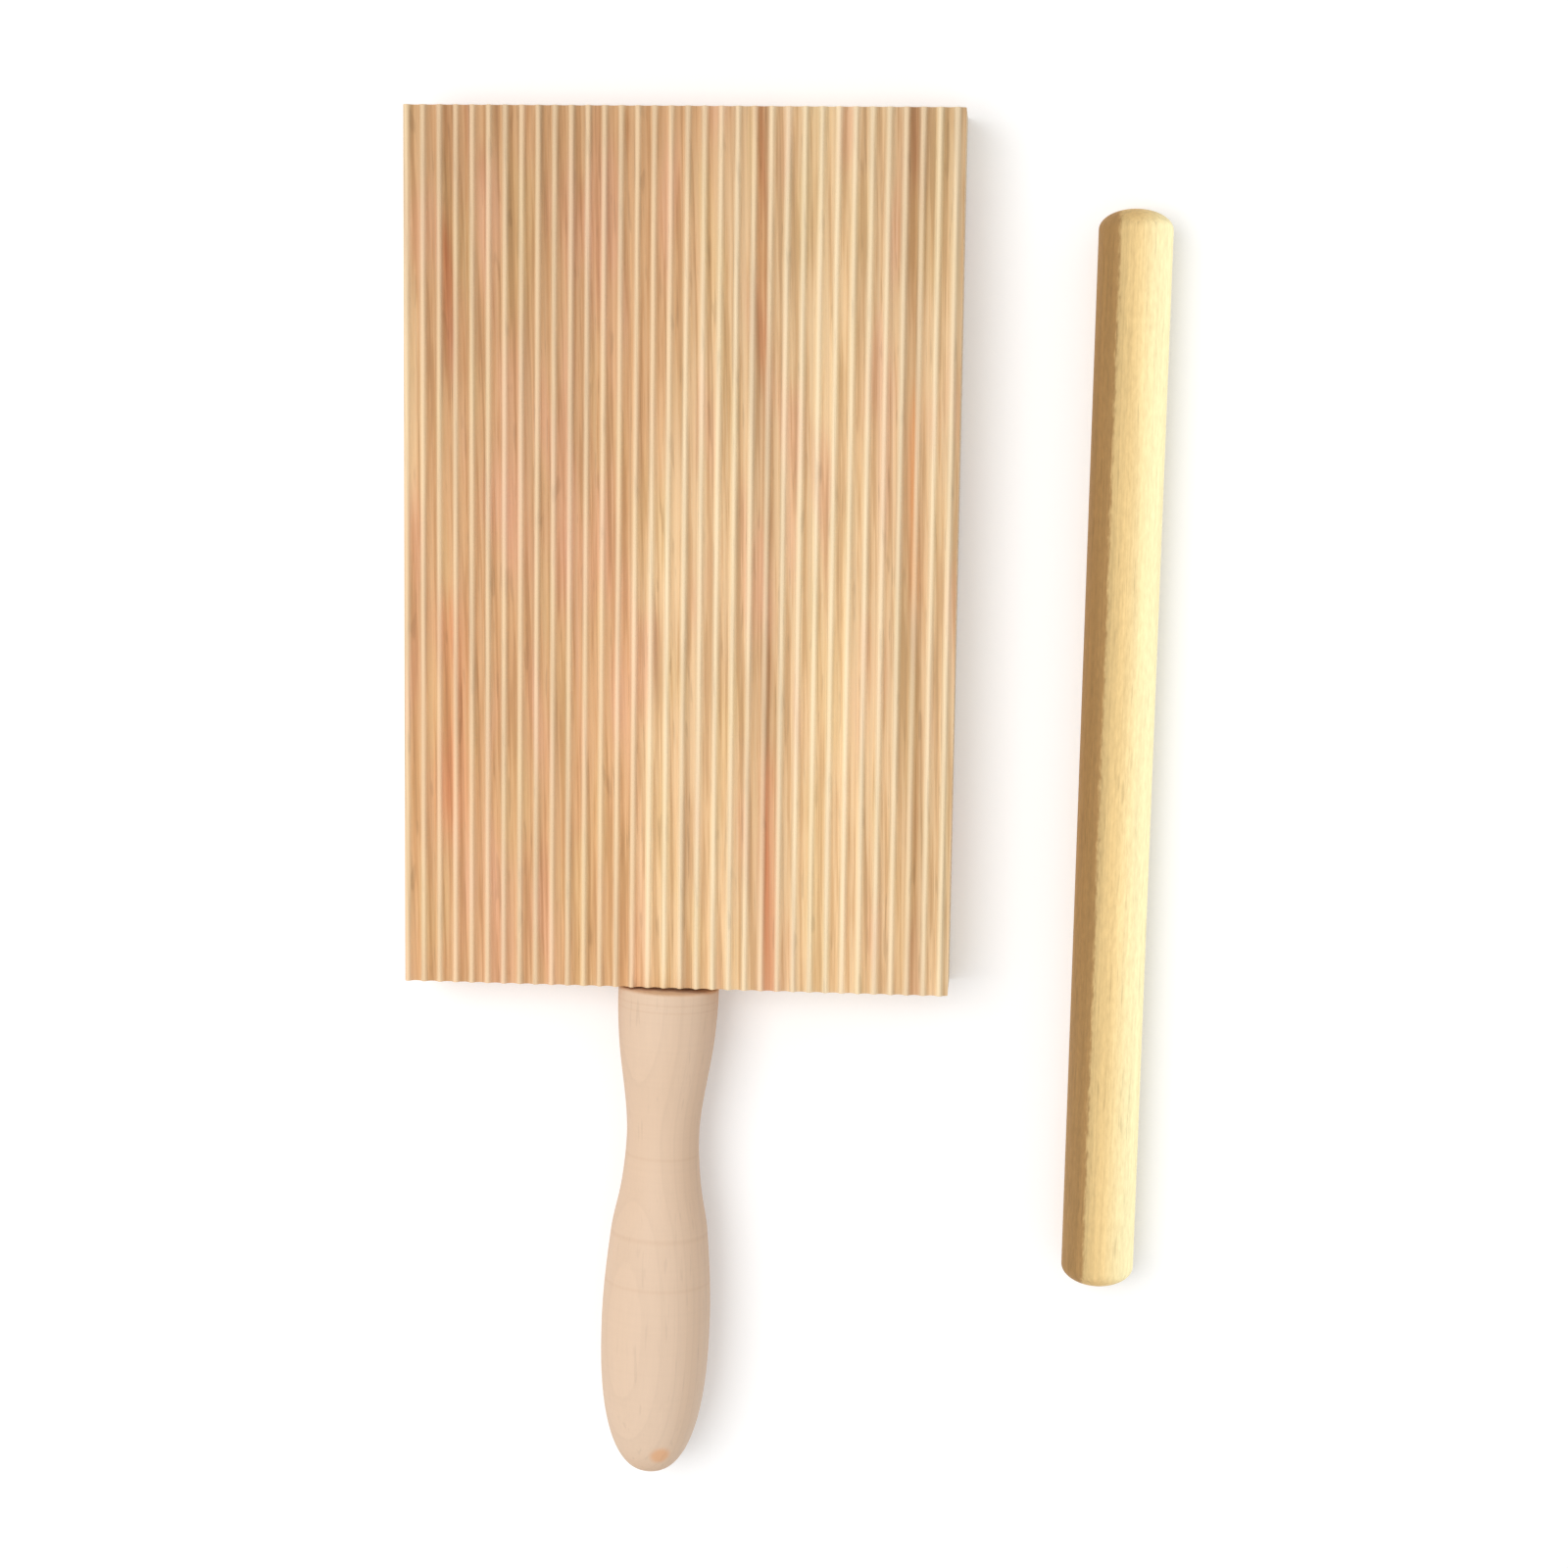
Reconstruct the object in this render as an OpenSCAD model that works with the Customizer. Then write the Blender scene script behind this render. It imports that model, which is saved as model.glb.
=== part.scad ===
// Ridged wooden board for rolling small dumplings, with its turned handle, and the loose
// wooden dowel that goes with it. Lengths are in millimetres.
// The origin is the centre of the board's flat underside. +Z is up, +Y runs along the ridges
// away from the handle, and +X points to the side where the dowel lies.

/* [Board] */
// Width of the board, across its ridges
board_w = 120; // [90:1:160]
// Length of the board, along its ridges
board_l = 190; // [140:1:260]
// Thickness of the board at its ridge crests
board_t = 20; // [19:0.5:30]
// Bevel along the long edges of the underside
under_bevel = 0.8; // [0.2:0.1:2]

/* [Ridges] */
// Distance from one ridge crest to the next
ridge_pitch = 3.56; // [3:0.02:6]
// Depth of the grooves below the crests
ridge_depth = 1.1; // [0.6:0.1:1.3]
// Radius of the rounded crests
crest_r = 0.55; // [0.3:0.05:0.8]
// Distance from the board's left edge to its first crest
first_crest = 0.7; // [0:0.1:1.7]

/* [Handle] */
// Length of the handle, from its rim to its tip
handle_l = 112; // [100:1:140]
// Least gap between the board's end and the handle's rim
handle_gap = 0.4; // [0.2:0.1:0.8]
// Angle between the handle's axis and the board's centre line, in degrees
handle_lean = 1.7; // [0:0.1:2.5]
// Distance from the board's centre line to the handle's axis, at the board's end
handle_shift = 2; // [0:0.1:5]
// Space left between the handle's belly and the table
table_clear = 0.2; // [0.1:0.05:1]
// Bevel round the handle's rim
rim_bevel = 0.8; // [0.3:0.1:1.5]
// Diameter of the handle at its rim
rim_d = 22.4; // [20:0.1:24]
// Distance from the rim to the shoulder
shoulder_at = 12; // [8:0.5:16]
// Diameter of the handle at its shoulder
shoulder_d = 21.3; // [19:0.1:23]
// Distance from the rim to the neck, the narrowest place
neck_at = 34; // [30:0.5:38]
// Diameter of the handle at its neck
neck_d = 16.2; // [14:0.1:18]
// Distance from the rim to the place where the grip starts to swell
rise_at = 45; // [41:0.5:49]
// Diameter of the handle where the grip starts to swell
rise_d = 17.8; // [16:0.1:20]
// Distance from the rim to the middle of the swell
swell_at = 56; // [52:0.5:64]
// Diameter of the handle at the middle of the swell
swell_d = 21.7; // [19:0.1:23]
// Distance from the rim to the belly, the widest place
belly_at = 77; // [68:0.5:86]
// Diameter of the handle at its belly
belly_d = 24.4; // [22:0.1:26]
// Fullness of the rounded tip: 2 is an ellipse, and more is blunter
tip_fullness = 2.45; // [2:0.05:3]

/* [Handle pin] */
// Diameter of the fluted pin, over its flutes
pin_d = 8; // [6:0.5:9]
// Length of the fluted pin
pin_l = 50; // [36:1:60]
// Number of flutes round the pin
pin_flutes = 20; // [12:1:28]
// Depth of the flutes
flute_depth = 0.3; // [0.1:0.05:0.5]
// Bevel at both ends of the pin
pin_bevel = 1; // [0.5:0.1:1.5]
// Thickness of the glue line between the pin and its holes
glue_line = 0.05; // [0.02:0.01:0.15]
// Depth left free at the bottom of each pin hole
hole_spare = 1; // [0.5:0.1:3]

/* [Rolling dowel] */
// Diameter of the dowel
dowel_d = 16; // [10:0.5:24]
// Length of the dowel, over its rounded ends
dowel_l = 237; // [180:1:300]
// Length of the rounding at each end of the dowel
dowel_round = 4.5; // [1:0.1:8]
// Space between the board's right side and the dowel
dowel_gap = 27.6; // [10:0.1:60]
// Distance from the board's middle to the dowel's middle, towards the handle
dowel_back = 43.3; // [0:0.1:80]
// Angle between the dowel and the board's centre line, in degrees
dowel_lean = 0.5; // [0:0.1:5]

/* [Hidden] */

// Circle facets, and steps along each quarter arc of a ridge or a rounded end
$fn = 96;
ridge_steps = 3;
round_steps = 12;
// Spacing of the points along the handle's outline
outline_step = 2;
// How far a cutting shape runs past the face that it cuts
overcut = 5;
// Least spacing of two outline points
merge_gap = 0.02;

half_w = board_w / 2;
half_l = board_l / 2;

// A crest arc and a groove arc touch where their radii add up to this
half_pitch = ridge_pitch / 2;
meet_r = (half_pitch ^ 2 + ridge_depth ^ 2) / (2 * ridge_depth);
meet_angle = asin(half_pitch / meet_r);
groove_r = meet_r - crest_r;
crest_half = crest_r * sin(meet_angle);
crest_count = ceil(board_w / ridge_pitch) + 1;

// The handle's axis is at mid-thickness, or higher if its belly would touch the table
handle_z = max(board_t / 2, belly_d / 2 + table_clear);
// Distance along the axis from the board's end to the leaning rim's middle
rim_at = handle_gap + rim_d / 2 * sin(handle_lean);
pin_seat = (pin_l - rim_at) / 2;
bore_r = pin_d / 2 + glue_line;

dowel_r = dowel_d / 2;
dowel_x = half_w + dowel_gap + dowel_r;

// Distances from the rim and diameters that the handle's outline runs through
stations = [
    [0, rim_d],
    [shoulder_at, shoulder_d],
    [neck_at, neck_d],
    [rise_at, rise_d],
    [swell_at, swell_d],
    [belly_at, belly_d]
];

// Height of the ridged face at distance u from the nearest crest
function ridge_z(u) = u < crest_half
    ? board_t - crest_r + sqrt(crest_r ^ 2 - u ^ 2)
    : board_t - ridge_depth + groove_r - sqrt(groove_r ^ 2 - (half_pitch - u) ^ 2);

// Distance from x to the nearest crest
function from_crest(x) =
    let (turns = (x + half_w - first_crest) / ridge_pitch)
    abs(turns - round(turns)) * ridge_pitch;

function ridge_point(x) = [x, ridge_z(from_crest(x))];

// Places across one ridge and the groove after it, from the crest's left side
ridge_offsets = [
    for (i = [-ridge_steps:ridge_steps - 1]) crest_r * sin(meet_angle * i / ridge_steps),
    for (i = [-ridge_steps:ridge_steps - 1]) half_pitch + groove_r * sin(meet_angle * i / ridge_steps)
];

// Outline of the board seen from its end, from the underside round the left edge
board_outline = [
    [half_w - under_bevel, 0],
    [-half_w + under_bevel, 0],
    [-half_w, under_bevel],
    ridge_point(-half_w),
    for (k = [-1:crest_count])
        for (offset = ridge_offsets)
            let (x = first_crest - half_w + k * ridge_pitch + offset)
            if (abs(x) < half_w - merge_gap) ridge_point(x),
    ridge_point(half_w),
    [half_w, under_bevel]
];

// Slope of the handle's outline at station i, level where the handle is narrowest or widest
function rise_between(i) =
    (stations[i + 1][1] - stations[i][1]) / (stations[i + 1][0] - stations[i][0]);
function slope(i) = i == len(stations) - 1 ? 0
    : i == 0 ? 0
    : rise_between(i - 1) * rise_between(i) < 0 ? 0
    : (stations[i + 1][1] - stations[i - 1][1]) / (stations[i + 1][0] - stations[i - 1][0]);

// Radius of the handle at distance s from its rim, by a smooth curve through the stations
function station_before(s) = max([for (i = [0:len(stations) - 2]) if (stations[i][0] <= s) i]);
function handle_r(s) =
    let (
        i = station_before(s),
        span = stations[i + 1][0] - stations[i][0],
        t = (s - stations[i][0]) / span
    )
    (
        (2 * t ^ 3 - 3 * t ^ 2 + 1) * stations[i][1]
        + (t ^ 3 - 2 * t ^ 2 + t) * span * slope(i)
        + (3 * t ^ 2 - 2 * t ^ 3) * stations[i + 1][1]
        + (t ^ 3 - t ^ 2) * span * slope(i + 1)
    ) / 2;

// Half of the handle's outline: radius across, distance from the rim along
handle_outline = [
    [0, 0],
    [rim_d / 2 - rim_bevel, 0],
    for (s = [rim_bevel:outline_step:belly_at - outline_step / 2]) [handle_r(s), s],
    for (i = [0:round_steps - 1])
        let (a = 90 * i / round_steps, power = 2 / tip_fullness)
        [belly_d / 2 * cos(a) ^ power, belly_at + (handle_l - belly_at) * sin(a) ^ power],
    [0, handle_l]
];

// Outline of the fluted pin seen from its end
function flute_r(a) = pin_d / 2 - flute_depth * (1 - cos(a * pin_flutes)) / 2;
flute_outline = [
    for (i = [0:4 * pin_flutes - 1])
        let (a = 90 * i / pin_flutes)
        flute_r(a) * [cos(a), sin(a)]
];

// Half of the dowel's outline, from one rounded end to the other
dowel_outline = [
    for (i = [0:round_steps])
        let (a = 90 - 90 * i / round_steps)
        [dowel_r * cos(a), dowel_round * (1 - sin(a)) - dowel_l / 2],
    for (i = [0:round_steps])
        let (a = 90 * i / round_steps)
        [dowel_r * cos(a), dowel_l / 2 - dowel_round * (1 - sin(a))]
];

// Puts a shape that stands on z = 0 on the handle's axis, pointing out of the board's end
module on_handle_axis() {
    translate([-handle_shift, -half_l, handle_z])
        rotate([0, 0, -handle_lean])
            rotate([90, 0, 0])
                children();
}

// The plank: ridges on top, a flat underside, and the pin's hole in its near end
module ridged_board() {
    color([0.87, 0.71, 0.54])
        difference() {
            rotate([90, 0, 0])
                linear_extrude(board_l, center = true)
                    polygon(board_outline);
            on_handle_axis()
                translate([0, 0, -pin_seat - hole_spare])
                    cylinder(h = pin_seat + hole_spare + overcut, r = bore_r);
        }
}

// The turned grip, with the pin's other hole in its rim
module handle() {
    color([0.90, 0.79, 0.67])
        on_handle_axis()
            translate([0, 0, rim_at])
                difference() {
                    rotate_extrude()
                        polygon(handle_outline);
                    translate([0, 0, -overcut])
                        cylinder(h = overcut + pin_seat + hole_spare, r = bore_r);
                }
}

// The fluted pin that is glued into the board and the handle and holds them together
module handle_pin() {
    bevel_r = pin_d / 2 - pin_bevel;
    color([0.80, 0.65, 0.46])
        on_handle_axis()
            translate([0, 0, -pin_seat])
                intersection() {
                    linear_extrude(pin_l)
                        polygon(flute_outline);
                    rotate_extrude()
                        polygon([
                            [0, 0],
                            [bevel_r, 0],
                            [bevel_r + 2 * pin_bevel, 2 * pin_bevel],
                            [bevel_r + 2 * pin_bevel, pin_l - 2 * pin_bevel],
                            [bevel_r, pin_l],
                            [0, pin_l]
                        ]);
                }
}

// The loose dowel, lying on the table beside the board
module rolling_dowel() {
    color([0.95, 0.86, 0.63])
        translate([dowel_x, -dowel_back, dowel_r])
            rotate([0, 0, -dowel_lean])
                rotate([-90, 0, 0])
                    rotate_extrude()
                        polygon(dowel_outline);
}

ridged_board();
handle();
handle_pin();
rolling_dowel();
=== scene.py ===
import math

import bmesh
import bpy
from bpy.props import FloatProperty, FloatVectorProperty, IntProperty, PointerProperty
from mathutils import Euler, Matrix, Vector


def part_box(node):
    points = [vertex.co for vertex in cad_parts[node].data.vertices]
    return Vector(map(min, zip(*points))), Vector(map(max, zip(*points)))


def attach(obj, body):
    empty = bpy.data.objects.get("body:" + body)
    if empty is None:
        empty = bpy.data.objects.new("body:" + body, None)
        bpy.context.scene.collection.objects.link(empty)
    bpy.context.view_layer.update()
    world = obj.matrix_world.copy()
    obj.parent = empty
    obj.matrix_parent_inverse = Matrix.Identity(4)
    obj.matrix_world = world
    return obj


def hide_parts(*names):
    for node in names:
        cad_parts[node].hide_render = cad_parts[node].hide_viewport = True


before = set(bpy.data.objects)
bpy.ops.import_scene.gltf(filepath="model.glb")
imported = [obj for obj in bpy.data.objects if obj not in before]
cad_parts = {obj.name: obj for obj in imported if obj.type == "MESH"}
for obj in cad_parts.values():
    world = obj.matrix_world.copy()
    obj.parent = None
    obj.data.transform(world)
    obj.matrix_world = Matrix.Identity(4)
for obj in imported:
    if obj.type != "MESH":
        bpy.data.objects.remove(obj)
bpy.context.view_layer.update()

bl_info = {
    "name": "Gnocchi Board",
    "version": (1, 0, 0),
    "blender": (4, 5, 0),
    "location": "View3D > Sidebar > Gnocchi Board",
    "description": "Makes a ridged wooden board, its turned handle and its loose dowel",
    "category": "Object",
}

MM = 0.001
BOARD_LOW, BOARD_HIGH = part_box("ridged_board")
DOWEL_LOW, DOWEL_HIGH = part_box("rolling_dowel")

# The handle's place and outline, as the frame has them: distances along its axis from the
# board's end, and diameters
HANDLE_LEAN = math.radians(1.7)
HANDLE_SHIFT = -2 * MM
HANDLE_HEIGHT = 12.4 * MM
RIM_GAP = 0.4 * MM
RIM_BEVEL = 0.8 * MM
PIN_SEAT = 24.63 * MM
HOLE_SPARE = 1 * MM
HOLE_RADIUS = 4.05 * MM
HANDLE_STATIONS = ((0, 22.4), (12, 21.3), (34, 16.2), (45, 17.8), (56, 21.7), (77, 24.4))
TIP_FULLNESS = 2.45

# The dowel's lean, from the side that its ends reach
DOWEL_LEAN = math.radians(0.5)


def srgb(red, green, blue):
    """A scene colour from the red, green and blue that a picture shows, 0 to 255."""
    def linear(value):
        value /= 255
        return value / 12.92 if value <= 0.04045 else ((value + 0.055) / 1.055) ** 2.4
    return (linear(red), linear(green), linear(blue), 1.0)


# Streaks of the board's grain, in millimetres: centre across, half width, near end, far end,
# colour and strength. The grain leans a little, and the centres are where it crosses y = 0.
BROWN = srgb(172, 122, 80)
RED_BROWN = srgb(190, 112, 72)
SALMON = srgb(222, 146, 108)
PINK = srgb(228, 180, 156)
ORANGE = srgb(226, 158, 98)
CREAM = srgb(244, 224, 184)
# Where a streak starts to show and where it is whole, from either of its ends
STREAK_FADE = (-6 * MM, 9 * MM)
BOARD_STREAKS = (
    (19.0, 1.5, -104, 104, BROWN, 0.75),
    (18.8, 1.3, 38, 104, SALMON, 0.45),
    (19.2, 1.6, -104, -42, SALMON, 0.65),
    (51.0, 1.5, -104, 104, BROWN, 0.55),
    (51.6, 3.2, 56, 104, BROWN, 0.28),
    (51.2, 1.5, -12, 36, ORANGE, 0.50),
    (0.5, 1.1, -104, -20, BROWN, 0.30),
    (14.5, 1.2, -76, -22, BROWN, 0.28),
    (-49.0, 1.1, 40, 73, RED_BROWN, 0.80),
    (-47.5, 3.4, 34, 104, BROWN, 0.35),
    (-51.0, 3.8, -62, -8, SALMON, 0.50),
    (-36.5, 3.0, -6, 46, PINK, 0.45),
    (-16.5, 2.6, -12, 72, PINK, 0.50),
    (-25.5, 7.0, -12, 9, PINK, 0.40),
    (-40.5, 5.0, -104, -64, PINK, 0.40),
    (32.0, 8.5, -104, 104, CREAM, 0.55),
    (56.8, 2.4, -104, 104, CREAM, 0.45),
    (-57.6, 2.6, 8, 104, CREAM, 0.45),
    (11.0, 3.0, -10, 32, CREAM, 0.30),
    (-2.6, 3.2, -14, 14, CREAM, 0.35),
    (-5.4, 2.8, -104, -30, CREAM, 0.40),
    (8.2, 3.0, -104, -52, CREAM, 0.40),
    (-41.2, 0.8, 79, 85, BROWN, 1.4),
    (-20.1, 0.7, 73, 78, BROWN, 1.4),
    (-9.4, 0.7, 88, 94, BROWN, 1.2),
)


# Shader nodes

def add(tree, kind, inputs=None, **settings):
    """A new node with its settings and the values or links of its inputs."""
    made = tree.nodes.new(kind)
    for name, value in settings.items():
        setattr(made, name, value)
    for name, value in (inputs or {}).items():
        if isinstance(value, bpy.types.NodeSocket):
            tree.links.new(value, made.inputs[name])
        else:
            made.inputs[name].default_value = value
    return made


def maths(tree, operation, first, second=0.0, third=0.0, clamp=False):
    """The result of a sum on numbers."""
    made = add(tree, "ShaderNodeMath", {0: first, 1: second, 2: third},
               operation=operation, use_clamp=clamp)
    return made.outputs[0]


def ramp(tree, value, low, high, start=0.0, end=1.0, smooth=True):
    """Value between low and high, brought smoothly to start and end."""
    kind = "SMOOTHSTEP" if smooth else "LINEAR"
    made = add(tree, "ShaderNodeMapRange",
               {"Value": value, "From Min": low, "From Max": high, "To Min": start, "To Max": end},
               interpolation_type=kind)
    return made.outputs[0]


def noise(tree, vector, scale, detail=2.0, rough=0.5):
    """Noise with its own scale along each axis, in waves to the metre."""
    spread = add(tree, "ShaderNodeVectorMath", {0: vector, 1: scale}, operation="MULTIPLY")
    made = add(tree, "ShaderNodeTexNoise",
               {"Vector": spread.outputs[0], "Scale": 1.0, "Detail": detail, "Roughness": rough})
    return made.outputs["Fac"]


def mix(tree, factor, first, second, blend="MIX"):
    """Two colours mixed by a factor."""
    made = add(tree, "ShaderNodeMix", {0: factor, 6: first, 7: second},
               data_type="RGBA", blend_type=blend)
    return made.outputs[2]


def group(name, inputs, outputs, build):
    """A node group by its name, built the first time that it is asked for."""
    tree = bpy.data.node_groups.get(name)
    if tree:
        return tree
    tree = bpy.data.node_groups.new(name, "ShaderNodeTree")
    for socket, kind in inputs.items():
        tree.interface.new_socket(socket, in_out="INPUT", socket_type="NodeSocket" + kind)
    for socket, kind in outputs.items():
        tree.interface.new_socket(socket, in_out="OUTPUT", socket_type="NodeSocket" + kind)
    results = build(tree, add(tree, "NodeGroupInput").outputs)
    add(tree, "NodeGroupOutput", dict(zip(outputs, results)))
    return tree


def growth_lines():
    """Broad tone, the dark late wood of each year, fibres and short flecks, round a pith."""
    def build(tree, given):
        from_pith = add(tree, "ShaderNodeVectorMath", {0: given["Vector"], 1: given["Pith"]},
                        operation="SUBTRACT").outputs[0]
        flat = add(tree, "ShaderNodeVectorMath", {0: from_pith, 1: (1, 0, 1)},
                   operation="MULTIPLY").outputs[0]
        out = add(tree, "ShaderNodeVectorMath", {0: flat}, operation="LENGTH").outputs["Value"]
        wander = maths(tree, "SUBTRACT", noise(tree, given["Vector"], (14, 4, 14)), 0.5)
        out = maths(tree, "MULTIPLY_ADD", wander, given["Waver"], out)
        parts = add(tree, "ShaderNodeSeparateXYZ", {0: from_pith}).outputs
        around = maths(tree, "MULTIPLY", maths(tree, "ARCTAN2", parts["Z"], parts["X"]), 0.1)
        place = add(tree, "ShaderNodeCombineXYZ", {0: out, 1: parts["Y"], 2: around}).outputs[0]
        broad = noise(tree, place, (45, 4, 12))
        drift = noise(tree, place, (160, 3, 6))
        years = maths(tree, "MULTIPLY_ADD", drift, 2.2, maths(tree, "DIVIDE", out, given["Year Width"]))
        part = maths(tree, "FRACT", years)
        late = maths(tree, "MULTIPLY", maths(tree, "POWER", part, 4.0), ramp(tree, part, 1.0, 0.93))
        fibre = noise(tree, place, (2600, 26, 900), 3.0, 0.6)
        fleck = ramp(tree, noise(tree, place, (1300, 90, 600), 1.0), 0.64, 0.74)
        return [broad, late, fibre, fleck]
    return group("Growth Lines",
                 {"Vector": "Vector", "Pith": "Vector", "Waver": "Float", "Year Width": "Float"},
                 {"Broad": "Float", "Late": "Float", "Fibre": "Float", "Fleck": "Float"}, build)


def grain_streak():
    """A soft streak along the grain, between a near and a far end."""
    def build(tree, given):
        parts = add(tree, "ShaderNodeSeparateXYZ", {0: given["Vector"]}).outputs
        away = maths(tree, "DIVIDE", maths(tree, "SUBTRACT", parts["X"], given["Centre"]),
                     given["Half Width"])
        across = maths(tree, "POWER", math.e,
                       maths(tree, "MULTIPLY", maths(tree, "MULTIPLY", away, away), -1.0))
        near = ramp(tree, maths(tree, "SUBTRACT", parts["Y"], given["Near End"]), *STREAK_FADE)
        far = ramp(tree, maths(tree, "SUBTRACT", given["Far End"], parts["Y"]), *STREAK_FADE)
        along = maths(tree, "MULTIPLY", near, far)
        broken = ramp(tree, given["Break Up"], 0.3, 0.7, 0.55, 1.15)
        return [maths(tree, "MULTIPLY", maths(tree, "MULTIPLY", across, along), broken)]
    return group("Grain Streak",
                 {"Vector": "Vector", "Break Up": "Float", "Centre": "Float",
                  "Half Width": "Float", "Near End": "Float", "Far End": "Float"},
                 {"Mask": "Float"}, build)


def end_grain():
    """Where a face cuts across the grain, from its normal and the grain's direction."""
    def build(tree, given):
        facing = add(tree, "ShaderNodeVectorMath", {0: given["Normal"], 1: given["Along"]},
                     operation="DOT_PRODUCT").outputs["Value"]
        return [ramp(tree, maths(tree, "ABSOLUTE", facing), 0.35, 0.9)]
    return group("End Grain", {"Normal": "Vector", "Along": "Vector"}, {"Mask": "Float"}, build)


def place_group(tree, node_group, inputs):
    """A group placed in a material with its own values."""
    made = add(tree, "ShaderNodeGroup", node_tree=node_group)
    for name, value in inputs.items():
        if isinstance(value, bpy.types.NodeSocket):
            tree.links.new(value, made.inputs[name])
        else:
            made.inputs[name].default_value = value
    return made.outputs


def bare_wood(name, turn, middle, pith, year_width):
    """The start of a wood: a material, its grain laid along the piece and its lines."""
    material = bpy.data.materials.new(name)
    material.use_nodes = True
    tree = material.node_tree
    tree.nodes.clear()
    coordinates = add(tree, "ShaderNodeTexCoord").outputs
    moved = add(tree, "ShaderNodeVectorMath", {0: coordinates["Object"], 1: middle},
                operation="SUBTRACT").outputs[0]
    turned = add(tree, "ShaderNodeMapping", {"Vector": moved, "Rotation": (0, 0, turn)}).outputs[0]
    lines = place_group(tree, growth_lines(), {
        "Vector": turned, "Pith": pith, "Waver": 3 * MM, "Year Width": year_width})
    along = (math.sin(turn), math.cos(turn), 0)
    ends = place_group(tree, end_grain(), {"Normal": coordinates["Normal"], "Along": along})
    return material, tree, turned, lines, ends["Mask"]


def tone(tree, colour, amounts):
    """A colour made darker or lighter by what varies over it: pairs of a value and an amount."""
    for value, amount in amounts:
        level = maths(tree, "MULTIPLY_ADD", maths(tree, "SUBTRACT", value, 0.5), amount, 1.0)
        colour = mix(tree, 1.0, colour, level, "MULTIPLY")
    return colour


def finish_wood(tree, colour, roughness, height, depth):
    """The wood's own shader, with its colour, roughness and relief."""
    bump = add(tree, "ShaderNodeBump", {"Height": height, "Distance": depth, "Strength": 1.0})
    shader = add(tree, "ShaderNodeBsdfPrincipled",
                 {"Base Color": colour, "Roughness": roughness, "Normal": bump.outputs[0],
                  "Specular IOR Level": 0.25})
    add(tree, "ShaderNodeOutputMaterial", {"Surface": shader.outputs[0]})


def board_wood(look):
    """Softwood plank: heartwood on the left, pale sapwood on the right, single streaks."""
    material, tree, turned, lines, ends = bare_wood(
        "board_wood", math.radians(-1.2), (0, 0, 0), (-0.16, 0, -0.09), 2.6 * MM)
    parts = add(tree, "ShaderNodeSeparateXYZ", {0: turned}).outputs
    wander = maths(tree, "SUBTRACT", noise(tree, turned, (30, 11, 30), 3.0), 0.5)
    across = maths(tree, "MULTIPLY_ADD", wander, 4.5 * MM, parts["X"])
    wavy = add(tree, "ShaderNodeCombineXYZ", {0: across, 1: parts["Y"], 2: parts["Z"]}).outputs[0]
    break_up = noise(tree, turned, (420, 16, 420), 3.0, 0.6)

    edge = ramp(tree, parts["Y"], -5 * MM, 95 * MM, -10 * MM, 12 * MM, smooth=False)
    softness = ramp(tree, parts["Y"], -30 * MM, 95 * MM, 1.5 * MM, 14 * MM, smooth=False)
    past = maths(tree, "DIVIDE", maths(tree, "SUBTRACT", across, edge), softness)
    colour = mix(tree, ramp(tree, past, -1.0, 1.0), look.heart, look.sap)
    for centre, half_width, near_end, far_end, tint, strength in BOARD_STREAKS:
        mask = place_group(tree, grain_streak(), {
            "Vector": wavy, "Break Up": break_up, "Centre": centre * MM,
            "Half Width": half_width * MM, "Near End": near_end * MM, "Far End": far_end * MM})
        colour = mix(tree, maths(tree, "MULTIPLY", mask["Mask"], strength, clamp=True), colour, tint)
    hue = noise(tree, turned, (150, 22, 150), 1.0)
    colour = mix(tree, ramp(tree, hue, 0.52, 0.72, 0.0, 0.4), colour, PINK)
    colour = mix(tree, ramp(tree, hue, 0.48, 0.30, 0.0, 0.35), colour, look.green_cast)
    # Painted shade: the plank is painted darker toward its far end and lighter toward the handle, as a
    # lamp's falloff along it would give
    far_end_painted_shade = ramp(tree, parts["Y"], -95 * MM, 95 * MM, 0.62, 0.28, smooth=False)
    strands = noise(tree, turned, (640, 17, 640), 3.0, 0.65)
    colour = tone(tree, colour, (
        (far_end_painted_shade, 0.55), (lines["Broad"], 0.22), (lines["Late"], -0.16), (lines["Fibre"], 0.42),
        (ramp(tree, strands, 0.62, 0.48), 0.14), (maths(tree, "SUBTRACT", 1.0, lines["Fleck"]), 0.16)))

    # Grooves are painted darker, unevenly along the strands, as painted shade, and crests are painted
    # paler as a painted highlight
    up = maths(tree, "SUBTRACT", parts["Z"], BOARD_HIGH.z - look.depth)
    height = maths(tree, "DIVIDE", up, look.depth)
    in_groove = maths(tree, "MULTIPLY", ramp(tree, height, 0.75, 0.05),
                      ramp(tree, height, -0.12, -0.04))
    painted_groove_shade = maths(tree, "MULTIPLY", in_groove, ramp(tree, strands, 0.38, 0.62, 0.6, 1.0))
    colour = mix(tree, maths(tree, "MULTIPLY", painted_groove_shade, look.groove_shade_amount), colour,
                 look.groove, "MULTIPLY")
    # Painted highlight: the crests are painted paler
    painted_crest_highlight = maths(tree, "MULTIPLY", ramp(tree, height, 0.35, 0.85), look.crest_highlight_amount)
    colour = mix(tree, painted_crest_highlight, colour, look.crest)
    colour = mix(tree, maths(tree, "MULTIPLY", ends, 0.75), colour, srgb(226, 196, 160), "MULTIPLY")
    roughness = ramp(tree, maths(tree, "ADD", lines["Fibre"], maths(tree, "MULTIPLY", in_groove, 0.3)),
                     0.3, 1.0, 0.55, 0.75)
    relief = maths(tree, "MULTIPLY_ADD", lines["Late"], 0.4, lines["Fibre"])
    finish_wood(tree, colour, roughness, relief, 0.10 * MM)
    return material


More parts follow.
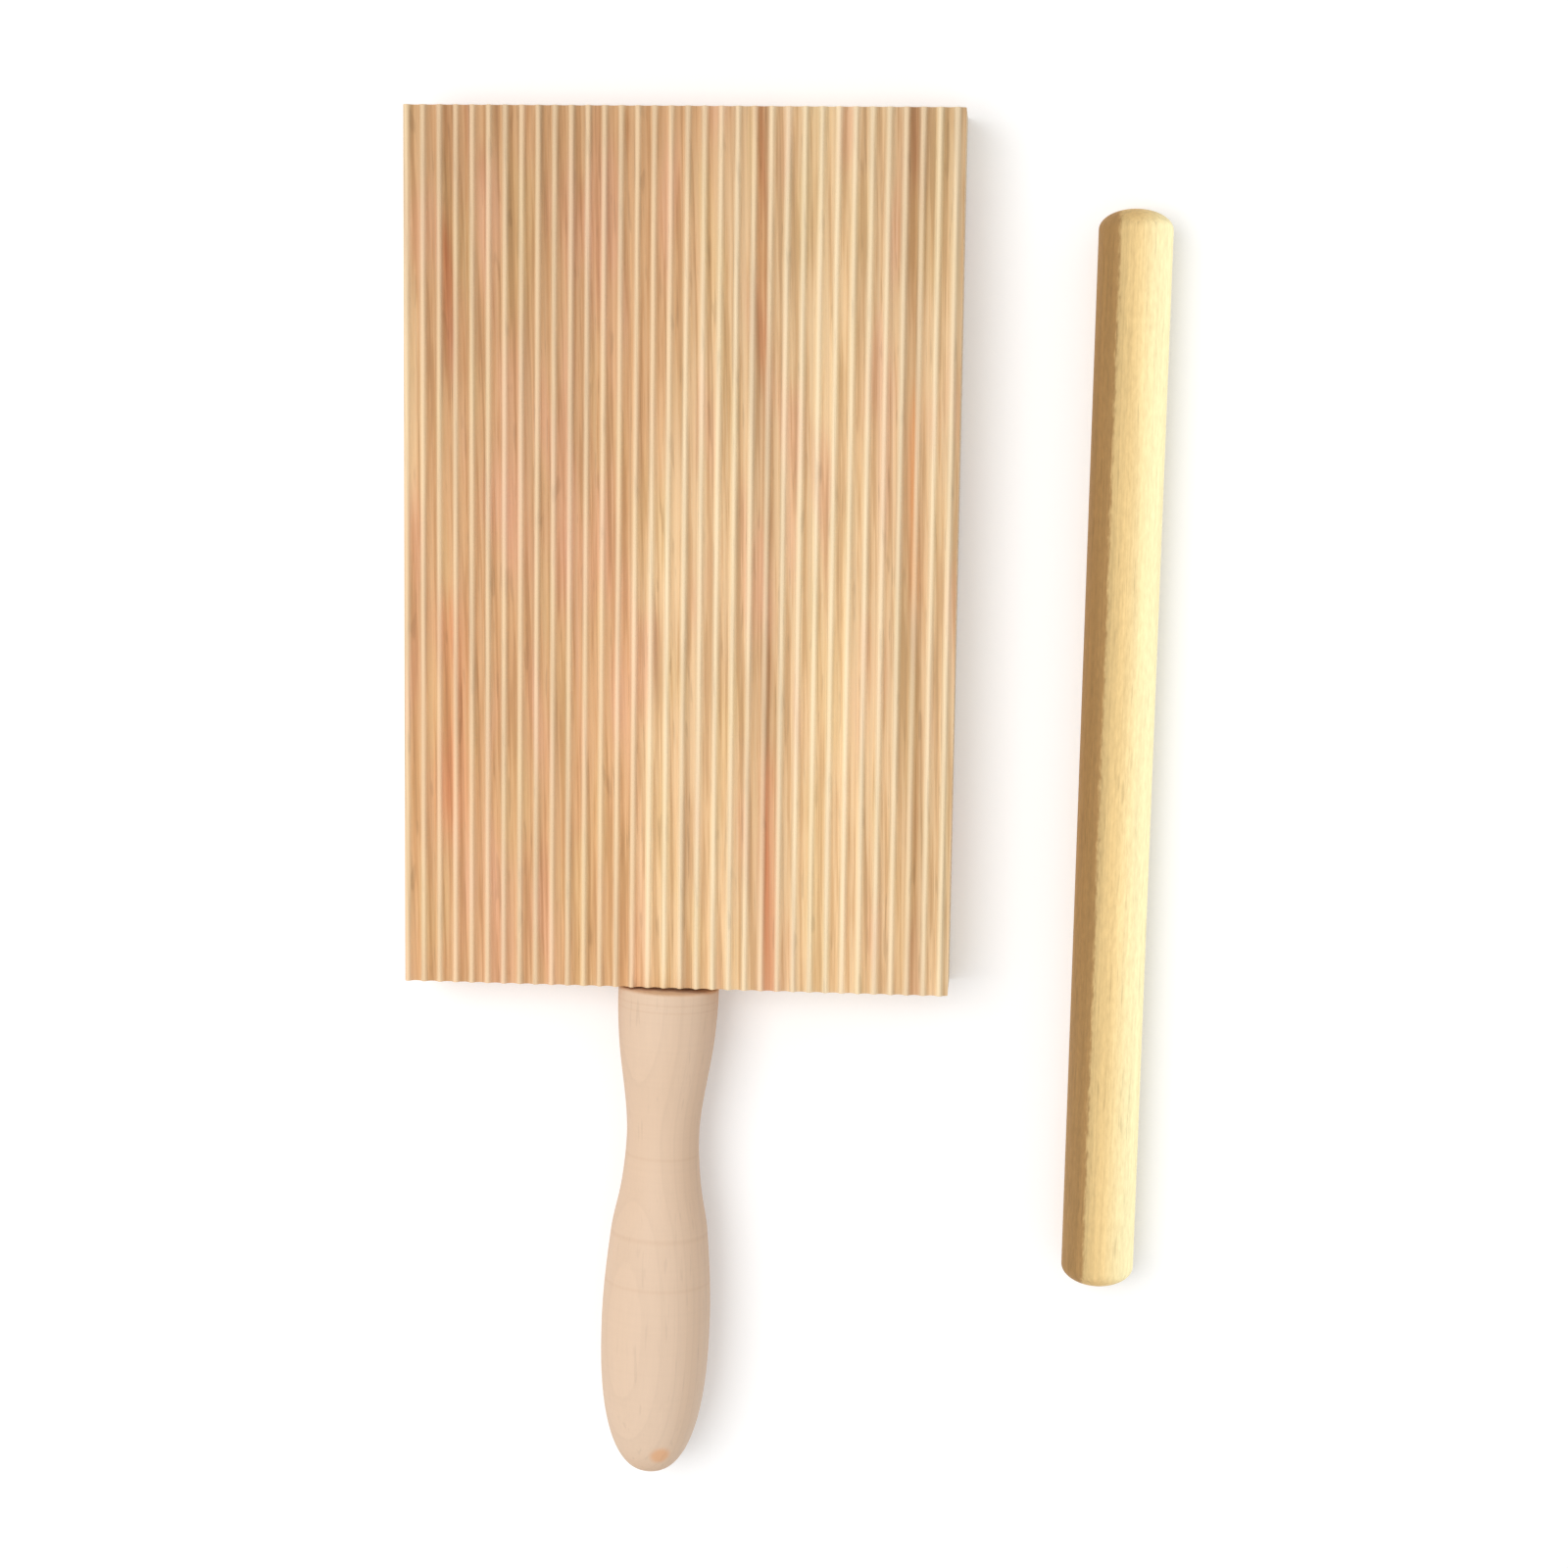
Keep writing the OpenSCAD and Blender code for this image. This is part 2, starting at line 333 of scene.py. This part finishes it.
def turned_wood(look, middle):
    """Pale close-grained wood of the handle, with faint rings from the lathe."""
    material, tree, turned, lines, ends = bare_wood(
        "handle_wood", HANDLE_LEAN, middle, (0.03, 0, -0.05), 2.2 * MM)
    parts = add(tree, "ShaderNodeSeparateXYZ", {0: turned}).outputs
    colour = mix(tree, ramp(tree, lines["Broad"], 0.35, 0.65), look.light, look.dark)
    rings = noise(tree, turned, (8, 1100, 8), 2.0)
    marks = 0.0
    for distance, half_width in ((2.6, 0.35), (4.2, 0.3), (38, 0.5), (56, 0.8), (67, 0.6)):
        away = maths(tree, "DIVIDE", maths(tree, "ADD", parts["Y"], distance * MM), half_width * MM)
        line = ramp(tree, maths(tree, "ABSOLUTE", away), 1.0, 0.2)
        marks = maths(tree, "ADD", line, marks)
    colour = mix(tree, maths(tree, "MULTIPLY", marks, 0.12, clamp=True), colour, look.mark)
    far_off = add(tree, "ShaderNodeVectorMath", {0: turned, 1: look.knot}, operation="DISTANCE")
    spot = ramp(tree, far_off.outputs["Value"], 3.0 * MM, 1.2 * MM)
    colour = mix(tree, maths(tree, "MULTIPLY", spot, 0.55), colour, ORANGE)
    colour = tone(tree, colour, (
        (lines["Late"], -0.05), (lines["Fibre"], 0.08), (rings, 0.05),
        (maths(tree, "SUBTRACT", 1.0, lines["Fleck"]), 0.07)))
    colour = mix(tree, maths(tree, "MULTIPLY", ends, 0.35), colour, srgb(236, 214, 188), "MULTIPLY")
    relief = maths(tree, "MULTIPLY_ADD", rings, 0.8, maths(tree, "MULTIPLY", lines["Fibre"], 0.5))
    relief = maths(tree, "MULTIPLY_ADD", marks, -0.3, relief)
    roughness = ramp(tree, lines["Fibre"], 0.2, 0.8, 0.46, 0.6)
    finish_wood(tree, colour, roughness, relief, 0.05 * MM)
    return material


def dowel_wood(look, middle, radius):
    """Yellowish dowel, with a brown strip along one side that is painted shade of the side turned from
    its lamp, and paler toward the lit side as a painted highlight.
    """
    material, tree, turned, lines, ends = bare_wood(
        "dowel_wood", DOWEL_LEAN, middle, (-0.025, 0, -0.03), 1.9 * MM)
    parts = add(tree, "ShaderNodeSeparateXYZ", {0: turned}).outputs
    wander = maths(tree, "SUBTRACT", noise(tree, turned, (90, 9, 90), 3.0), 0.5)
    pores = noise(tree, turned, (1500, 420, 1500), 2.0, 0.6)
    strands = noise(tree, turned, (760, 19, 760), 3.0, 0.6)
    across = maths(tree, "MULTIPLY_ADD", wander, 0.8 * MM, parts["X"])
    across = maths(tree, "MULTIPLY_ADD", maths(tree, "SUBTRACT", pores, 0.5), 1.6 * MM, across)
    # Paler toward the side the dowel's lamp lights, a painted highlight, and a brown strip on the other
    # side, painted shade of its unlit side
    colour = mix(tree, ramp(tree, across, -0.1 * radius, 0.9 * radius), look.middle, look.pale)
    colour = mix(tree, ramp(tree, across, -0.38 * radius, -0.5 * radius), colour, look.heart)
    colour = tone(tree, colour, (
        (lines["Broad"], 0.12), (lines["Late"], -0.08), (lines["Fibre"], 0.24),
        (pores, 0.36), (strands, 0.34),
        (maths(tree, "SUBTRACT", 1.0, lines["Fleck"]), 0.16)))
    colour = mix(tree, maths(tree, "MULTIPLY", ends, 0.4), colour, srgb(236, 218, 184), "MULTIPLY")
    chatter = noise(tree, turned, (40, 420, 40), 1.0)
    relief = maths(tree, "MULTIPLY_ADD", chatter, 0.3, lines["Fibre"])
    roughness = ramp(tree, lines["Fibre"], 0.2, 0.8, 0.55, 0.72)
    finish_wood(tree, colour, roughness, relief, 0.07 * MM)
    return material


def pin_wood(look):
    """Plain darker wood of the hidden pin."""
    material, tree, turned, lines, ends = bare_wood(
        "pin_wood", HANDLE_LEAN, (0, BOARD_LOW.y, 0), (0.02, 0, -0.03), 1.5 * MM)
    colour = tone(tree, mix(tree, ramp(tree, lines["Broad"], 0.3, 0.7), look.dark, look.mark), (
        (lines["Late"], -0.2), (lines["Fibre"], 0.2)))
    colour = mix(tree, maths(tree, "MULTIPLY", ends, 0.5), colour, srgb(214, 184, 148), "MULTIPLY")
    finish_wood(tree, colour, ramp(tree, lines["Fibre"], 0.2, 0.8, 0.6, 0.75), lines["Fibre"], 0.06 * MM)
    return material


# Meshes

def make_piece(name, shape, body, material, node):
    """An object from a finished bmesh, which stands for a CAD node and rides on its body."""
    mesh = bpy.data.meshes.new(name)
    shape.to_mesh(mesh)
    shape.free()
    mesh.materials.append(material)
    piece = bpy.data.objects.new(name, mesh)
    bpy.context.scene.collection.objects.link(piece)
    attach(piece, body)
    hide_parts(node)
    return piece


def smooth_below(mesh, angle):
    """Smooth shading, with edges kept sharp where faces meet at more than an angle."""
    mesh.shade_smooth()
    shape = bmesh.new()
    shape.from_mesh(mesh)
    for edge in shape.edges:
        edge.smooth = edge.is_manifold and edge.calc_face_angle(0) < angle
    shape.to_mesh(mesh)
    shape.free()


def spin_outline(points, steps):
    """A closed round piece about Z from its outline, pairs of a radius and a height."""
    shape = bmesh.new()
    line = [shape.verts.new((radius, 0, height)) for radius, height in points]
    edges = [shape.edges.new(pair) for pair in zip(line, line[1:])]
    bmesh.ops.spin(shape, geom=line + edges, cent=(0, 0, 0), axis=(0, 0, 1), dvec=(0, 0, 0),
                   angle=math.tau, steps=steps, use_merge=True)
    bmesh.ops.remove_doubles(shape, verts=shape.verts, dist=0.002 * MM)
    bmesh.ops.recalc_face_normals(shape, faces=shape.faces)
    return shape


def ridge_arc(shape, start, centre, angle, steps):
    """Turns a vertex about a line along Y, and gives the last vertex of the arc it leaves."""
    made = bmesh.ops.spin(shape, geom=[start], cent=centre, axis=(0, 1, 0), dvec=(0, 0, 0),
                          angle=angle, steps=steps)
    return next(item for item in made["geom_last"] if isinstance(item, bmesh.types.BMVert))


def board_shape(look):
    """The plank: one crest and one groove, repeated across and drawn out along the grain."""
    half_pitch = look.pitch / 2
    meet = (half_pitch ** 2 + look.depth ** 2) / (2 * look.depth)
    angle = math.asin(half_pitch / meet)
    groove = meet - look.crest_radius
    left, right, top, near = BOARD_LOW.x, BOARD_HIGH.x, BOARD_HIGH.z, BOARD_LOW.y
    first = left + look.first_crest - 2 * look.pitch
    shape = bmesh.new()
    start = shape.verts.new((first - look.crest_radius * math.sin(angle), near,
                             top - look.crest_radius * (1 - math.cos(angle))))
    crest_end = ridge_arc(shape, start, (first, near, top - look.crest_radius),
                          2 * angle, look.arc_steps)
    ridge_arc(shape, crest_end, (first + half_pitch, near, top - look.depth + groove),
              -2 * angle, look.arc_steps)
    ridge = shape.verts[:] + shape.edges[:]
    for place in range(1, math.ceil((right - left) / look.pitch) + 4):
        copy = bmesh.ops.duplicate(shape, geom=ridge)["geom"]
        bmesh.ops.translate(shape, verts=[item for item in copy if isinstance(item, bmesh.types.BMVert)],
                            vec=(place * look.pitch, 0, 0))
    bmesh.ops.remove_doubles(shape, verts=shape.verts, dist=0.002 * MM)
    for side, direction in ((left, -1), (right, 1)):
        bmesh.ops.bisect_plane(shape, geom=shape.verts[:] + shape.edges[:], plane_co=(side, 0, 0),
                               plane_no=(direction, 0, 0), clear_outer=True)
    ends = sorted((vert for vert in shape.verts if len(vert.link_edges) == 1), key=lambda vert: vert.co.x)
    ease = look.ease
    corners = [(left, ease), (left + ease, 0), (right - ease, 0), (right, ease)]
    below = [ends[0]] + [shape.verts.new((x, near, z)) for x, z in corners] + [ends[-1]]
    for pair in zip(below, below[1:]):
        shape.edges.new(pair)
    end_face = bmesh.ops.contextual_create(shape, geom=shape.edges[:])["faces"]
    drawn = bmesh.ops.extrude_face_region(shape, geom=end_face)["geom"]
    moved = [item for item in drawn if isinstance(item, bmesh.types.BMVert)]
    bmesh.ops.translate(shape, verts=moved, vec=(0, BOARD_HIGH.y - near, 0))
    bmesh.ops.recalc_face_normals(shape, faces=shape.faces)
    rims = [edge for edge in shape.edges
            if abs(edge.verts[0].co.y - edge.verts[1].co.y) < MM / 100
            and len(edge.link_faces) == 2]
    bmesh.ops.bevel(shape, geom=rims, offset=look.end_round, offset_type="OFFSET", segments=2,
                    profile=0.5, affect="EDGES", clamp_overlap=True, material=-1)
    return shape


def handle_radius(distance):
    """Radius of the handle at a distance from its rim, by a smooth curve through its stations."""
    places = [place * MM for place, width in HANDLE_STATIONS]
    radii = [width / 2 * MM for place, width in HANDLE_STATIONS]

    def rise(i):
        return (radii[i + 1] - radii[i]) / (places[i + 1] - places[i])

    def slope(i):
        if i == 0 or i == len(places) - 1 or rise(i - 1) * rise(i) < 0:
            return 0
        return (radii[i + 1] - radii[i - 1]) / (places[i + 1] - places[i - 1])

    i = max(k for k in range(len(places) - 1) if places[k] <= distance)
    span = places[i + 1] - places[i]
    t = (distance - places[i]) / span
    return ((2 * t ** 3 - 3 * t ** 2 + 1) * radii[i] + (t ** 3 - 2 * t ** 2 + t) * span * slope(i)
            + (3 * t ** 2 - 2 * t ** 3) * radii[i + 1] + (t ** 3 - t ** 2) * span * slope(i + 1))


def handle_outline(length):
    """The handle's outline from the bottom of its pin hole, round the rim to the tip."""
    belly_at, belly_width = HANDLE_STATIONS[-1]
    rim_radius = HANDLE_STATIONS[0][1] / 2 * MM
    points = [(0, PIN_SEAT + HOLE_SPARE), (HOLE_RADIUS, PIN_SEAT + HOLE_SPARE), (HOLE_RADIUS, 0)]
    for step in range(7):
        a = math.radians(90 * step / 6)
        points.append((rim_radius - RIM_BEVEL * (1 - math.sin(a)), RIM_BEVEL * (1 - math.cos(a))))
    distance = RIM_BEVEL + MM
    while distance < belly_at * MM - MM / 2:
        points.append((handle_radius(distance), distance))
        distance += MM
    steps = 28
    power = 2 / TIP_FULLNESS
    for step in range(steps):
        a = math.radians(90 * step / steps)
        points.append((belly_width / 2 * MM * math.cos(a) ** power,
                       belly_at * MM + (length - belly_at * MM) * math.sin(a) ** power))
    points.append((0, length))
    return points


def dowel_outline(radius, length, rounding):
    """The dowel's outline, from one rounded end to the other."""
    steps = 16
    points = []
    for end in (-1, 1):
        for step in range(steps + 1):
            a = math.radians(90 * step / steps)
            a = math.pi / 2 - a if end < 0 else a
            points.append((radius * math.cos(a), end * (length / 2 - rounding * (1 - math.sin(a)))))
    return points


class BoardLook(bpy.types.PropertyGroup):
    """Sizes of the ridges and colours of the board."""
    pitch: FloatProperty(
        name="Ridge Pitch", description="Distance from one crest to the next",
        unit="LENGTH", default=3.56 * MM, precision=5)
    depth: FloatProperty(
        name="Groove Depth", description="Depth of the grooves below the crests",
        unit="LENGTH", default=1.1 * MM, precision=5)
    crest_radius: FloatProperty(
        name="Crest Radius", description="Radius of the rounded crests",
        unit="LENGTH", default=0.55 * MM, precision=5)
    first_crest: FloatProperty(
        name="First Crest", description="Distance from the left edge to the first crest",
        unit="LENGTH", default=0.7 * MM, precision=5)
    ease: FloatProperty(
        name="Underside Bevel", description="Bevel along the long edges of the underside",
        unit="LENGTH", default=0.8 * MM, precision=5)
    end_round: FloatProperty(
        name="End Rounding", description="Sanded rounding where the ridges meet the ends",
        unit="LENGTH", default=0.3 * MM, precision=5)
    arc_steps: IntProperty(
        name="Arc Steps", description="Faces along each crest and each groove", default=10, min=4)
    heart: FloatVectorProperty(
        name="Heartwood", description="Colour of the left part of the plank",
        subtype="COLOR", size=4, default=srgb(214, 180, 140))
    sap: FloatVectorProperty(
        name="Sapwood", description="Colour of the right part of the plank",
        subtype="COLOR", size=4, default=srgb(225, 201, 164))
    green_cast: FloatVectorProperty(
        name="Olive Cast", description="Colour of the faint greener patches",
        subtype="COLOR", size=4, default=srgb(218, 196, 146))
    # Groove colour and amount: painted shade that darkens the grooves
    groove: FloatVectorProperty(
        name="Painted Groove Shade", description="Colour that the grooves are darkened with",
        subtype="COLOR", size=4, default=srgb(216, 186, 156))
    groove_shade_amount: FloatProperty(
        name="Painted Groove Shade Amount", description="How much the grooves are darkened",
        default=0.75, min=0, max=1)
    # Crest colour and amount: painted highlight that pales the crests
    crest: FloatVectorProperty(
        name="Painted Crest Highlight", description="Colour that the painted highlight leaves on the crests",
        subtype="COLOR", size=4, default=srgb(246, 220, 184))
    crest_highlight_amount: FloatProperty(
        name="Painted Crest Highlight Amount", description="How much the crests are paled",
        default=0.35, min=0, max=1)


class HandleLook(bpy.types.PropertyGroup):
    """Length and colours of the turned handle and its pin."""
    length: FloatProperty(
        name="Length", description="Length of the handle from its rim to its tip",
        unit="LENGTH", default=112 * MM, precision=5)
    steps: IntProperty(
        name="Steps", description="Faces round the handle", default=96, min=24)
    light: FloatVectorProperty(
        name="Light Wood", description="Colour of the handle's pale wood",
        subtype="COLOR", size=4, default=srgb(223, 196, 171))
    dark: FloatVectorProperty(
        name="Dark Wood", description="Colour of the handle's darker streaks",
        subtype="COLOR", size=4, default=srgb(216, 186, 158))
    mark: FloatVectorProperty(
        name="Lathe Mark", description="Colour of the rings that the lathe left",
        subtype="COLOR", size=4, default=srgb(190, 150, 116))
    knot: FloatVectorProperty(
        name="Knot", description="Place of the small warm knot near the tip",
        subtype="XYZ", size=3, default=(3 * MM, -106 * MM, 7.5 * MM), precision=5)


class DowelLook(bpy.types.PropertyGroup):
    """Size and colours of the loose dowel."""
    rounding: FloatProperty(
        name="End Rounding", description="Length of the rounding at each end",
        unit="LENGTH", default=4.5 * MM, precision=5)
    steps: IntProperty(
        name="Steps", description="Faces round the dowel", default=96, min=24)
    # The pale side is a painted highlight on the side that the dowel's lamp lights
    pale: FloatVectorProperty(
        name="Pale Wood", description="Colour of the palest side",
        subtype="COLOR", size=4, default=srgb(220, 209, 163))
    middle: FloatVectorProperty(
        name="Middle Wood", description="Colour along the middle",
        subtype="COLOR", size=4, default=srgb(229, 197, 137))
    # The brown strip is painted shade of the side turned from the dowel's lamp, in a heartwood brown
    heart: FloatVectorProperty(
        name="Heartwood", description="Colour of the brown strip",
        subtype="COLOR", size=4, default=srgb(194, 152, 97))


class StageLook(bpy.types.PropertyGroup):
    """Camera and light."""
    eye: FloatVectorProperty(
        name="Camera", description="Place of the camera",
        subtype="XYZ", size=3, default=(0.0704, 0.0254, 0.620), precision=5)
    tilt: FloatVectorProperty(
        name="Camera Tilt", description="Turn of the camera from looking straight down",
        subtype="EULER", size=3, default=[math.radians(a) for a in (-6.99, 4.559, 0.818)])
    field: FloatProperty(
        name="Field of View", description="Angle that the camera takes in",
        subtype="ANGLE", default=math.radians(31.36))
    pool: FloatProperty(
        name="Lit Floor", description="Distance out to which the floor needs no lift to look white",
        unit="LENGTH", default=0.35, precision=3)
    sky: FloatProperty(
        name="Room Light", description="Strength of the even light all round", default=0.64)


class GNOCCHI_OT_board(bpy.types.Operator):
    """Make the ridged board"""
    bl_idname = "gnocchi.board"
    bl_label = "Ridged Board"

    def execute(self, context):
        look = context.scene.gnocchi_board
        piece = make_piece("ridged_plank", board_shape(look), "board",
                           board_wood(look), "ridged_board")
        drill = spin_outline([(0, -PIN_SEAT - HOLE_SPARE), (HOLE_RADIUS, -PIN_SEAT - HOLE_SPARE),
                              (HOLE_RADIUS, 5 * MM), (0, 5 * MM)], 48)
        bmesh.ops.transform(drill, matrix=handle_axis(), verts=drill.verts)
        cutter_mesh = bpy.data.meshes.new("drill")
        drill.to_mesh(cutter_mesh)
        drill.free()
        cutter = bpy.data.objects.new("drill", cutter_mesh)
        context.scene.collection.objects.link(cutter)
        hole = piece.modifiers.new("pin_hole", "BOOLEAN")
        hole.operation = "DIFFERENCE"
        hole.solver = "EXACT"
        hole.object = cutter
        drilled = bpy.data.meshes.new_from_object(
            piece.evaluated_get(context.evaluated_depsgraph_get()))
        piece.modifiers.clear()
        piece.data = drilled
        bpy.data.objects.remove(cutter)
        smooth_below(piece.data, math.radians(32))
        return {"FINISHED"}


def handle_axis():
    """Places what stands on Z on the handle's axis, pointing out of the board's end."""
    return (Matrix.Translation((HANDLE_SHIFT, BOARD_LOW.y, HANDLE_HEIGHT))
            @ Matrix.Rotation(-HANDLE_LEAN, 4, "Z") @ Matrix.Rotation(math.pi / 2, 4, "X"))


class GNOCCHI_OT_handle(bpy.types.Operator):
    """Make the turned handle and finish the pin that holds it"""
    bl_idname = "gnocchi.handle"
    bl_label = "Handle and Pin"

    def execute(self, context):
        look = context.scene.gnocchi_handle
        rim_at = RIM_GAP + HANDLE_STATIONS[0][1] / 2 * MM * math.sin(HANDLE_LEAN)
        shape = spin_outline(handle_outline(look.length), look.steps)
        bmesh.ops.transform(shape, matrix=handle_axis() @ Matrix.Translation((0, 0, rim_at)),
                            verts=shape.verts)
        material = turned_wood(look, handle_axis() @ Vector((0, 0, rim_at)))
        piece = make_piece("turned_handle", shape, "board", material, "handle")
        smooth_below(piece.data, math.radians(40))
        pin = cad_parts["handle_pin"]
        pin.data.materials.clear()
        pin.data.materials.append(pin_wood(look))
        return {"FINISHED"}


class GNOCCHI_OT_dowel(bpy.types.Operator):
    """Make the loose dowel"""
    bl_idname = "gnocchi.dowel"
    bl_label = "Rolling Dowel"

    def execute(self, context):
        look = context.scene.gnocchi_dowel
        middle = (DOWEL_LOW + DOWEL_HIGH) / 2
        radius = (DOWEL_HIGH.z - DOWEL_LOW.z) / 2
        length = (DOWEL_HIGH.y - DOWEL_LOW.y) / math.cos(DOWEL_LEAN)
        shape = spin_outline(dowel_outline(radius, length, look.rounding), look.steps)
        place = (Matrix.Translation(middle) @ Matrix.Rotation(-DOWEL_LEAN, 4, "Z")
                 @ Matrix.Rotation(-math.pi / 2, 4, "X"))
        bmesh.ops.transform(shape, matrix=place, verts=shape.verts)
        piece = make_piece("loose_dowel", shape, "dowel",
                           dowel_wood(look, middle, radius), "rolling_dowel")
        smooth_below(piece.data, math.radians(40))
        return {"FINISHED"}


def place_lamp(name, where, target, size, power, lit, others=False):
    """A square soft lamp aimed at a point, for one piece or for all the others."""
    lamp = bpy.data.lights.new(name, "AREA")
    lamp.size = size
    lamp.energy = power
    holder = bpy.data.objects.new(name, lamp)
    holder.location = where
    holder.rotation_euler = (Vector(target) - Vector(where)).to_track_quat("-Z", "Y").to_euler()
    bpy.context.scene.collection.objects.link(holder)
    receivers = bpy.data.collections.new(name + "_receivers")
    receivers.objects.link(lit)
    if others:
        receivers.collection_objects[0].light_linking.link_state = "EXCLUDE"
    holder.light_linking.receiver_collection = receivers
    return holder


class GNOCCHI_OT_stage(bpy.types.Operator):
    """Lay the pale floor and set the lamps and the camera"""
    bl_idname = "gnocchi.stage"
    bl_label = "Stage"

    def execute(self, context):
        look = context.scene.gnocchi_stage
        scene = context.scene
        ground = bmesh.new()
        bmesh.ops.create_grid(ground, x_segments=1, y_segments=1, size=4)
        mesh = bpy.data.meshes.new("floor")
        ground.to_mesh(mesh)
        ground.free()
        floor = bpy.data.objects.new("floor", mesh)
        scene.collection.objects.link(floor)
        material = bpy.data.materials.new("floor_white")
        material.use_nodes = True
        tree = material.node_tree
        tree.nodes.clear()
        rays = add(tree, "ShaderNodeLightPath").outputs
        seen = maths(tree, "MAXIMUM", rays["Is Camera Ray"], rays["Is Glossy Ray"])
        plain = add(tree, "ShaderNodeBsdfDiffuse", {"Color": (0.88, 0.88, 0.88, 1)}).outputs[0]
        from_middle = add(tree, "ShaderNodeVectorMath",
                          {0: add(tree, "ShaderNodeTexCoord").outputs["Object"]}, operation="LENGTH")
        lift = ramp(tree, from_middle.outputs["Value"], look.pool, 4 * look.pool, 0.2, 0.5)
        glow = add(tree, "ShaderNodeEmission",
                   {"Color": (1, 1, 1, 1), "Strength": maths(tree, "MULTIPLY", seen, lift)}).outputs[0]
        both = add(tree, "ShaderNodeAddShader", {0: plain, 1: glow}).outputs[0]
        add(tree, "ShaderNodeOutputMaterial", {"Surface": both})
        mesh.materials.append(material)

        world = bpy.data.worlds.new("studio")
        world.use_nodes = True
        background = world.node_tree.nodes["Background"]
        background.inputs["Color"].default_value = (1, 1, 1, 1)
        rays = add(world.node_tree, "ShaderNodeLightPath").outputs
        seen = maths(world.node_tree, "MAXIMUM", rays["Is Camera Ray"], rays["Is Glossy Ray"])
        strength = ramp(world.node_tree, seen, 0.0, 1.0, look.sky, 1.0, smooth=False)
        world.node_tree.links.new(strength, background.inputs["Strength"])
        scene.world = world

        dowel = bpy.data.objects["loose_dowel"]
        place_lamp("key", (-0.42, 0.10, 1.15), (0, -0.04, 0), 0.8, 7.5, dowel, others=True)
        place_lamp("dowel_side", (0.72, -0.06, 0.50), (0.095, -0.04, 0), 0.3, 4.2, dowel)

        lens = bpy.data.cameras.new("camera")
        lens.angle = look.field
        camera = bpy.data.objects.new("camera", lens)
        camera.location = look.eye
        camera.rotation_euler = Euler(look.tilt, "XYZ")
        scene.collection.objects.link(camera)
        scene.camera = camera
        scene.view_settings.view_transform = "Standard"
        return {"FINISHED"}


class GNOCCHI_PT_panel(bpy.types.Panel):
    """Lists the board's pieces"""
    bl_idname = "GNOCCHI_PT_panel"
    bl_label = "Gnocchi Board"
    bl_space_type = "VIEW_3D"
    bl_region_type = "UI"
    bl_category = "Gnocchi Board"

    def draw(self, context):
        for operator in OPERATORS:
            self.layout.operator(operator.bl_idname)


LOOKS = {
    "gnocchi_board": BoardLook,
    "gnocchi_handle": HandleLook,
    "gnocchi_dowel": DowelLook,
    "gnocchi_stage": StageLook,
}
OPERATORS = (GNOCCHI_OT_board, GNOCCHI_OT_handle, GNOCCHI_OT_dowel, GNOCCHI_OT_stage)


def register():
    for look in LOOKS.values():
        bpy.utils.register_class(look)
    for name, look in LOOKS.items():
        setattr(bpy.types.Scene, name, PointerProperty(type=look))
    for operator in OPERATORS:
        bpy.utils.register_class(operator)
    bpy.utils.register_class(GNOCCHI_PT_panel)


def unregister():
    bpy.utils.unregister_class(GNOCCHI_PT_panel)
    for operator in reversed(OPERATORS):
        bpy.utils.unregister_class(operator)
    for name, look in LOOKS.items():
        delattr(bpy.types.Scene, name)
        bpy.utils.unregister_class(look)


def main():
    register()
    bpy.ops.gnocchi.board()
    bpy.ops.gnocchi.handle()
    bpy.ops.gnocchi.dowel()
    bpy.ops.gnocchi.stage()


if __name__ == "__main__":
    main()
